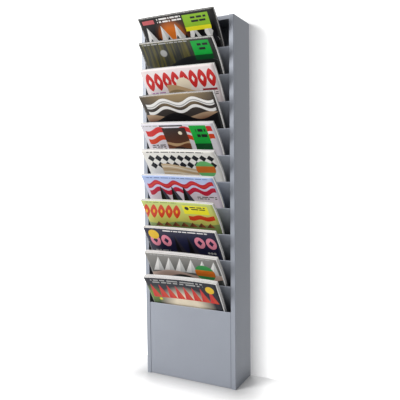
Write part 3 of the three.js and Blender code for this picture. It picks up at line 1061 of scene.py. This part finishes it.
# %% Wrap the covers
STOCK = 0.3 * MM
SPINE_RADIUS = 0.8 * MM
COVER_SETBACK = 2.5 * MM  # most front covers have slipped back a little over the pages
FLUSH_SETBACK = 0.3 * MM
FLUSH_ROWS = (1,)
COVER_COLUMNS = 20
FLAT_ROWS = 10
BENT_ROWS = 18


def sweep(magazine, bm, geometry, length):
    """Pulls a section up through the pocket and over the lip, to a length above the lip."""
    flat = bmesh.ops.spin(
        bm, geom=geometry, cent=(0, 0, 0), axis=ACROSS, angle=0, steps=FLAT_ROWS,
        dvec=UP * magazine.hidden / FLAT_ROWS,
    )
    bmesh.ops.spin(
        bm, geom=flat["geom_last"], cent=(0, magazine.bend_middle, 0), axis=ACROSS,
        angle=length / magazine.bend_radius, steps=BENT_ROWS,
    )


def page_place(magazine, point):
    """Where a point of the cover lies on the printed sheet, in page widths."""
    depth, length = unbent(magazine, point)
    down = (magazine.exposed - length) / PAGE_WIDTH
    across = (point.x - magazine.left) / PAGE_WIDTH
    if across > SPINE_RADIUS / PAGE_WIDTH and depth < magazine.thickness / 2:
        return across, down
    return -(across + depth / PAGE_WIDTH), down


def printed_cover(magazine):
    bm = bmesh.new()
    width = magazine.right - magazine.left - SPINE_RADIUS
    setback = FLUSH_SETBACK if magazine.row in FLUSH_ROWS else COVER_SETBACK
    start = (magazine.right - setback, 0, -magazine.hidden)
    fold = (-SQUARE, SPINE_RADIUS)
    trace(bm, start, -ACROSS, UP, [
        even(width - setback, COVER_COLUMNS), fold,
        [magazine.thickness - 2 * SPINE_RADIUS], fold,
        even(width, COVER_COLUMNS),
    ])
    sweep(magazine, bm, bm.edges[:] + bm.verts[:], magazine.exposed)
    bmesh.ops.recalc_face_normals(bm, faces=bm.faces[:])
    front = min(bm.faces, key=lambda face: face.calc_center_median().y)
    if front.normal.y > 0:
        bmesh.ops.reverse_faces(bm, faces=bm.faces[:])
    layer = bm.loops.layers.uv.new("page")
    for face in bm.faces:
        for loop in face.loops:
            loop[layer].uv = page_place(magazine, loop.vert.co)
    relax(magazine, bm)
    bm.transform(magazine.matrix)
    row = magazine.row
    piece = add_piece(f"printed_cover_{row:02d}", bm, cover_materials[row])
    stock = piece.modifiers.new("stock", "SOLIDIFY")
    stock.thickness = STOCK
    stock.offset = -1
    stand_for(piece, f"magazine_{row:02d}", f"cover_{row:02d}", f"magazine_cover_{row:02d}")
    return piece


covers = [printed_cover(magazine) for magazine in magazines]
print("covers wrapped:", len(covers), "faces each:", len(covers[0].data.polygons))

# %% [markdown]
# ## Page blocks
# Inside the cover lie the pages, bound in thin sections. From the side they show as fine lines, because the
# sections end at slightly different lengths. Each section is a thin grid pulled up the same way as the
# cover. An attribute keeps every point's depth in the block, and the paper draws its leaves from it.

# %% The page paper and the page blocks
LEAVES_IN_A_METRE = 2600.0
SECTION = 0.9 * MM
SECTION_GAP = 0.07 * MM
FORE_TRIM = (0.1 * MM, 0.5 * MM)  # how far the sections end inside the pages' full size
HEAD_TRIM = 1.8 * MM  # how far the pages end below the head of a tall cover
TALL_COVER_ROWS = (1, 2, 4)
PAGE_COLUMNS = 12
FEWEST_SECTIONS = 3
PAPER_COLOR = srgb(243, 241, 239)
PAPER_ROUGHNESS = (0.7, 0.85)
MOTTLE_SCALE = 60.0
LEAF_SHADE = srgb(188, 184, 184)
LEAF_CREST = (-0.2, 1.0)  # part of the leaves' wave that shows as a line
LEAF_STRENGTH = 0.55
LEAF_MOTTLE = (0.4, 1.0)
LEAF_BUMP = 0.3
LEAF_HEIGHT = 0.05 * MM
BLEED_SHADE = srgb(150, 148, 149)  # pages printed right to their edges
BLEED_SCALE = 420.0
BLEED_RANGE = (0.5, 0.62)
BLEED_STRENGTH = 0.7

paper, tree, shader = new_material("page_paper")
depth = add_node(tree, "ShaderNodeAttribute", attribute_name="depth").outputs["Fac"]
place = add_node(tree, "ShaderNodeTexCoord").outputs["Object"]
cut = add_node(tree, "ShaderNodeAttribute", attribute_name="cut").outputs["Fac"]
leaves = math_node(tree, "SINE", product(tree, depth, LEAVES_IN_A_METRE * math.tau))
mottle = noise(tree, place, MOTTLE_SCALE, detail=3.0)
lines = spread(tree, leaves, *LEAF_CREST, 0.0, LEAF_STRENGTH)
along_depth = add_node(tree, "ShaderNodeCombineXYZ", {"X": depth}).outputs[0]
bleeds = spread(tree, noise(tree, along_depth, BLEED_SCALE), *BLEED_RANGE, 0.0, BLEED_STRENGTH)
leafy = mix_color(tree, product(tree, lines, sway(tree, mottle, *LEAF_MOTTLE), cut), PAPER_COLOR, LEAF_SHADE)
bump = add_node(tree, "ShaderNodeBump", {"Height": leaves, "Strength": LEAF_BUMP, "Distance": LEAF_HEIGHT})
feed(tree, shader["Base Color"], mix_color(tree, product(tree, bleeds, cut), leafy, BLEED_SHADE))
feed(tree, shader["Roughness"], sway(tree, mottle, *PAPER_ROUGHNESS))
feed(tree, shader["Normal"], bump.outputs[0])


def page_block(magazine):
    bm = bmesh.new()
    inset = STOCK + SECTION_GAP
    room = magazine.thickness - 2 * inset
    count = max(FEWEST_SECTIONS, round(room / SECTION))
    head_trim = HEAD_TRIM if magazine.row in TALL_COVER_ROWS else 0.0
    for number in range(count):
        near = inset + room * number / count
        far = inset + room * (number + 1) / count - SECTION_GAP
        right = magazine.right - chance.uniform(*FORE_TRIM)
        left = magazine.left + 2 * STOCK
        matrix = Matrix.Translation(((left + right) / 2, (near + far) / 2, -magazine.hidden + STOCK))
        matrix = matrix @ Matrix.Diagonal((right - left, far - near, 1, 1))
        grid = bmesh.ops.create_grid(bm, x_segments=PAGE_COLUMNS, y_segments=1, size=0.5, matrix=matrix)
        faces = list({face for vert in grid["verts"] for face in vert.link_faces})
        sweep(magazine, bm, faces, magazine.exposed - head_trim - chance.uniform(*FORE_TRIM))
    bmesh.ops.recalc_face_normals(bm, faces=bm.faces[:])
    depth = bm.verts.layers.float.new("depth")
    cut = bm.faces.layers.float.new("cut")
    for vert in bm.verts:
        vert[depth] = unbent(magazine, vert.co)[0]
    for face in bm.faces:
        depths = [vert[depth] for vert in face.verts]
        face[cut] = float(max(depths) - min(depths) > SECTION_GAP)
    relax(magazine, bm)
    bm.transform(magazine.matrix)
    row = magazine.row
    piece = add_piece(f"page_block_{row:02d}", bm, paper)
    piece.data.polygons.foreach_set("use_smooth", [False] * len(piece.data.polygons))
    stand_for(piece, f"magazine_{row:02d}", "page_paper", f"magazine_pages_{row:02d}")
    return piece


blocks = [page_block(magazine) for magazine in magazines]
print("page blocks:", len(blocks), "faces in the thickest:", len(blocks[-1].data.polygons))

# %% [markdown]
# ## Floor, wall and light
# The rack stands on a pale floor against a pale wall. Both have a glow that makes them white. Beside the rack
# the glow fades and the floor's paint darkens, a painted shadow that adds to the soft shadow the lamps cast
# there. The wall shows only to the camera and only from its front, so that it neither lights the rack nor
# hides its back from other views.
# One soft box close to the front, at the upper left, makes the key light and throws the magazines' shadows on
# the right return. A second one behind lights the back, and the white surroundings fill the rest.

# %% Build the stage and the lamps
STAGE_SIZE = 6.0
WALL_GAP = 0.5 * MM
# The floor is darker and both glows are lower beside the rack, a painted shadow that fades out over the
# reach.
FLOOR_TONE_WITH_PAINTED_SHADOW = (0.67, 0.86)  # beside the rack and away from it
FLOOR_GLOW_WITH_PAINTED_SHADOW = (0.05, 0.45)
FLOOR_PAINTED_SHADOW_REACH = 0.07
WALL_TONE = (0.86, 0.86)
WALL_GLOW_WITH_PAINTED_SHADOW = (0.18, 0.80)
WALL_PAINTED_SHADOW_REACH = 0.055
FILL_LEVEL = 0.28


def stage_plane(name, matrix, material):
    bm = bmesh.new()
    bmesh.ops.create_grid(bm, x_segments=1, y_segments=1, size=STAGE_SIZE / 2, matrix=matrix)
    plane = add_piece(name, bm, material)


def away_from_rack(tree):
    """The distance from the steel case, which counts as a plain box."""
    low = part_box("left_side")[0]
    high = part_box("right_side")[1]
    place = add_node(tree, "ShaderNodeTexCoord").outputs["Object"]
    for operation, vector in (
        ("SUBTRACT", (low + high) / 2),
        ("ABSOLUTE", None),
        ("SUBTRACT", (high - low) / 2),
        ("MAXIMUM", (0, 0, 0)),
    ):
        sockets = {0: place} if vector is None else {0: place, 1: tuple(vector)}
        place = add_node(tree, "ShaderNodeVectorMath", sockets, operation=operation).outputs[0]
    return add_node(tree, "ShaderNodeVectorMath", {0: place}, operation="LENGTH").outputs["Value"]


def background_rays(tree):
    """The rays of the camera alone, and with them those of reflections and of clear things."""
    rays = add_node(tree, "ShaderNodeLightPath").outputs
    seen = math_node(tree, "MAXIMUM", rays["Is Camera Ray"], rays["Is Glossy Ray"])
    return rays["Is Camera Ray"], math_node(tree, "MAXIMUM", seen, rays["Is Transmission Ray"])


def stage_material(name, tone, glow, reach, one_sided):
    """Pale paint with a glow that lights nothing, and for the wall, no back. Beside the rack the glow, and
    the floor's paint, are lower: a painted shadow.
    """
    material, tree, shader = new_material(name)
    camera_ray, seen = background_rays(tree)
    away = away_from_rack(tree)
    greys_with_painted_shadow = [(value, value, value, 1.0) for value in tone]
    feed(tree, shader["Base Color"], mix_color(tree, spread(tree, away, 0.0, reach, 0.0, 1.0), *greys_with_painted_shadow))
    shader["Roughness"].default_value = 1.0
    shader["Specular IOR Level"].default_value = 0.0
    shader["Emission Color"].default_value = (1, 1, 1, 1)
    glow_with_painted_shadow = spread(tree, away, 0.0, reach, *glow)
    feed(tree, shader["Emission Strength"], product(tree, seen, glow_with_painted_shadow))
    if one_sided:
        backfacing = add_node(tree, "ShaderNodeNewGeometry").outputs["Backfacing"]
        facing = math_node(tree, "SUBTRACT", 1.0, backfacing)
        shown = product(tree, camera_ray, facing)
        clear = add_node(tree, "ShaderNodeBsdfTransparent").outputs[0]
        look = tree.nodes["Principled BSDF"].outputs[0]
        mixed = add_node(tree, "ShaderNodeMixShader", {0: shown, 1: clear, 2: look}).outputs[0]
        feed(tree, tree.nodes["Material Output"].inputs["Surface"], mixed)
    return material


floor_paint = stage_material("pale_floor", FLOOR_TONE_WITH_PAINTED_SHADOW, FLOOR_GLOW_WITH_PAINTED_SHADOW, FLOOR_PAINTED_SHADOW_REACH, False)
wall_paint = stage_material("pale_wall", WALL_TONE, WALL_GLOW_WITH_PAINTED_SHADOW, WALL_PAINTED_SHADOW_REACH, True)
stage_plane("floor", Matrix.Identity(4), floor_paint)
wall_place = Matrix.Translation((0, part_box("right_side")[1].y + WALL_GAP, 0))
stage_plane("wall", wall_place @ Matrix.Rotation(SQUARE, 4, "X"), wall_paint)

world = bpy.data.worlds.new("studio")
scene.world = world
world.use_nodes = True
tree = world.node_tree
background = tree.nodes["Background"].inputs
background["Color"].default_value = (1, 1, 1, 1)
feed(tree, background["Strength"], spread(tree, background_rays(tree)[1], 0.0, 1.0, FILL_LEVEL, 1.0))


def soft_box(name, place, target, size, power):
    """A square area lamp that looks at a point."""
    lamp = bpy.data.lights.new(name, "AREA")
    lamp.size = size
    lamp.energy = power
    holder = bpy.data.objects.new(name, lamp)
    direction = Vector(target) - Vector(place)
    holder.matrix_world = Matrix.Translation(place) @ direction.to_track_quat("-Z", "Y").to_matrix().to_4x4()
    scene.collection.objects.link(holder)


soft_box("key_light", place=(-1.05, -1.5, 1.25), target=(0, 0, 0.45), size=0.8, power=33)
soft_box("back_light", place=(-0.9, 1.3, 1.5), target=(0, 0, 0.5), size=1.0, power=16)
scene.view_settings.view_transform = "Standard"
print("stage and lamps are set")
